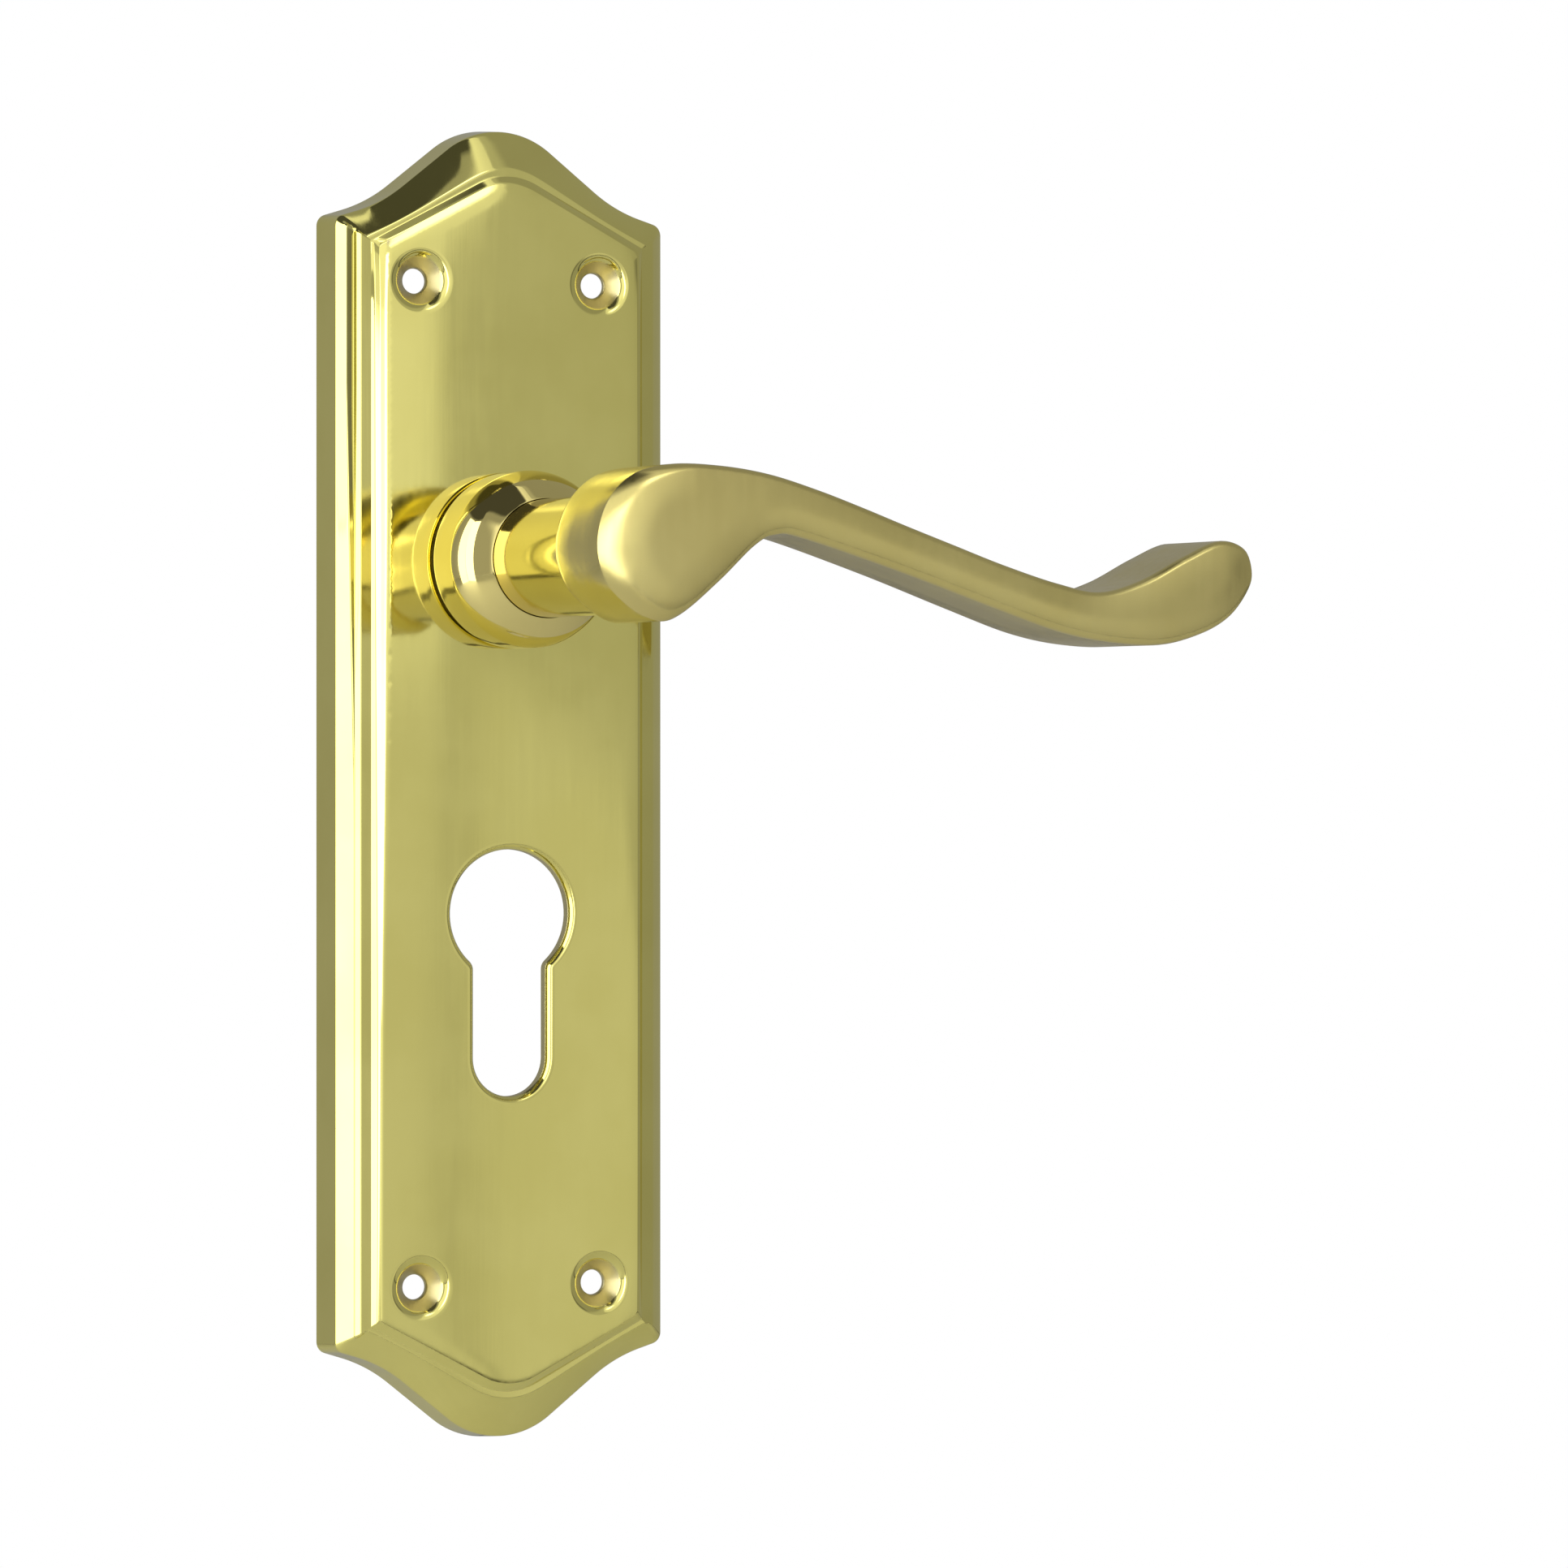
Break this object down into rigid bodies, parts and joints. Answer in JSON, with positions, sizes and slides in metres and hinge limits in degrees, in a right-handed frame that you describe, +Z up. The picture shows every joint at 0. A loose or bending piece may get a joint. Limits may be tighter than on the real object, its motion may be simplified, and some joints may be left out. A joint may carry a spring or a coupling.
{
  "type": "lever door handle",
  "caption": "Polished brass scroll lever door handle on an ogee-crowned backplate with a euro-profile lock hole; the sprung lever turns a square spindle.",
  "frame": {"origin": "centre of the four fixing holes' rectangle, on the door face", "axes": "+X along the lever, +Y into the door, +Z up"},
  "size_m": [0.111, 0.1025, 0.1788],
  "materials": {
    "plate_brass": "polished and lacquered, faint vertical buffing",
    "collar_brass": "mirror polished",
    "lever_brass": "soft polish, lacquered",
    "bush_brass": "turned",
    "dark_nylon": "matt",
    "pale_nylon": "matt",
    "zinc": "die-cast zinc alloy, as cast",
    "plated_steel": "zinc plated",
    "steel": "bright drawn",
    "spring_steel": "oil tempered"
  },
  "bodies": {
    "plate": {"backplate": "plate_brass", "neck_collar": "collar_brass", "collar_washer": "dark_nylon", "bearing_bush": "bush_brass", "neck_washer": "pale_nylon", "spring_housing": "zinc", "spring_cover": "plated_steel", "cover_screw_upper": "plated_steel", "cover_screw_lower": "plated_steel", "stop_pin_rest": "steel", "stop_pin_down": "steel", "return_spring": "spring_steel"},
    "lever": {"lever": "lever_brass", "drive_cam": "zinc", "retaining_clip": "spring_steel", "spindle": "steel"}
  },
  "joints": [
    {"name": "lever_turn", "type": "hinge", "parent": "plate", "child": "lever", "pos_m": [0, 0, 0.0304], "axis": [0, 1, 0], "range_deg": [0, 45], "stiffness_Nm_per_rad": 0.4, "springref_deg": -34.38, "deforming": ["return_spring"]}
  ]
}
